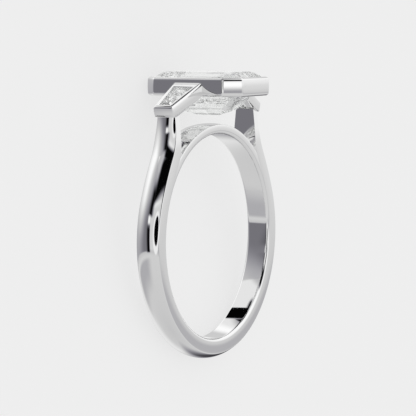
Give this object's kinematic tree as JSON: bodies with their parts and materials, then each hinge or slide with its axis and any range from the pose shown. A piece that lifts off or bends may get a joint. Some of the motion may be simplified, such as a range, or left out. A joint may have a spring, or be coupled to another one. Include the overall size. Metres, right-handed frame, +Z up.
{
  "type": "three-stone engagement ring",
  "caption": "Engagement ring: long step-cut stone between tapered baguettes, all in full bezels, on a slim domed band with raised shoulders; lying on its side.",
  "frame": {"origin": "middle of the footprint, on the surface that the ring rests on", "axes": "+Y along the ring from the back of the band to the head, +Z up; the ring lies on its side, so the finger hole's axis leans about 9 degrees from Z"},
  "size_m": [0.0202, 0.0238, 0.0091],
  "materials": {
    "polished_platinum": "mirror polish",
    "clear_stone": "faceted and polished"
  },
  "bodies": {
    "root": {"mounting": "polished_platinum", "centre_stone": "clear_stone", "side_stone_left": "clear_stone", "side_stone_right": "clear_stone"}
  },
  "joints": []
}
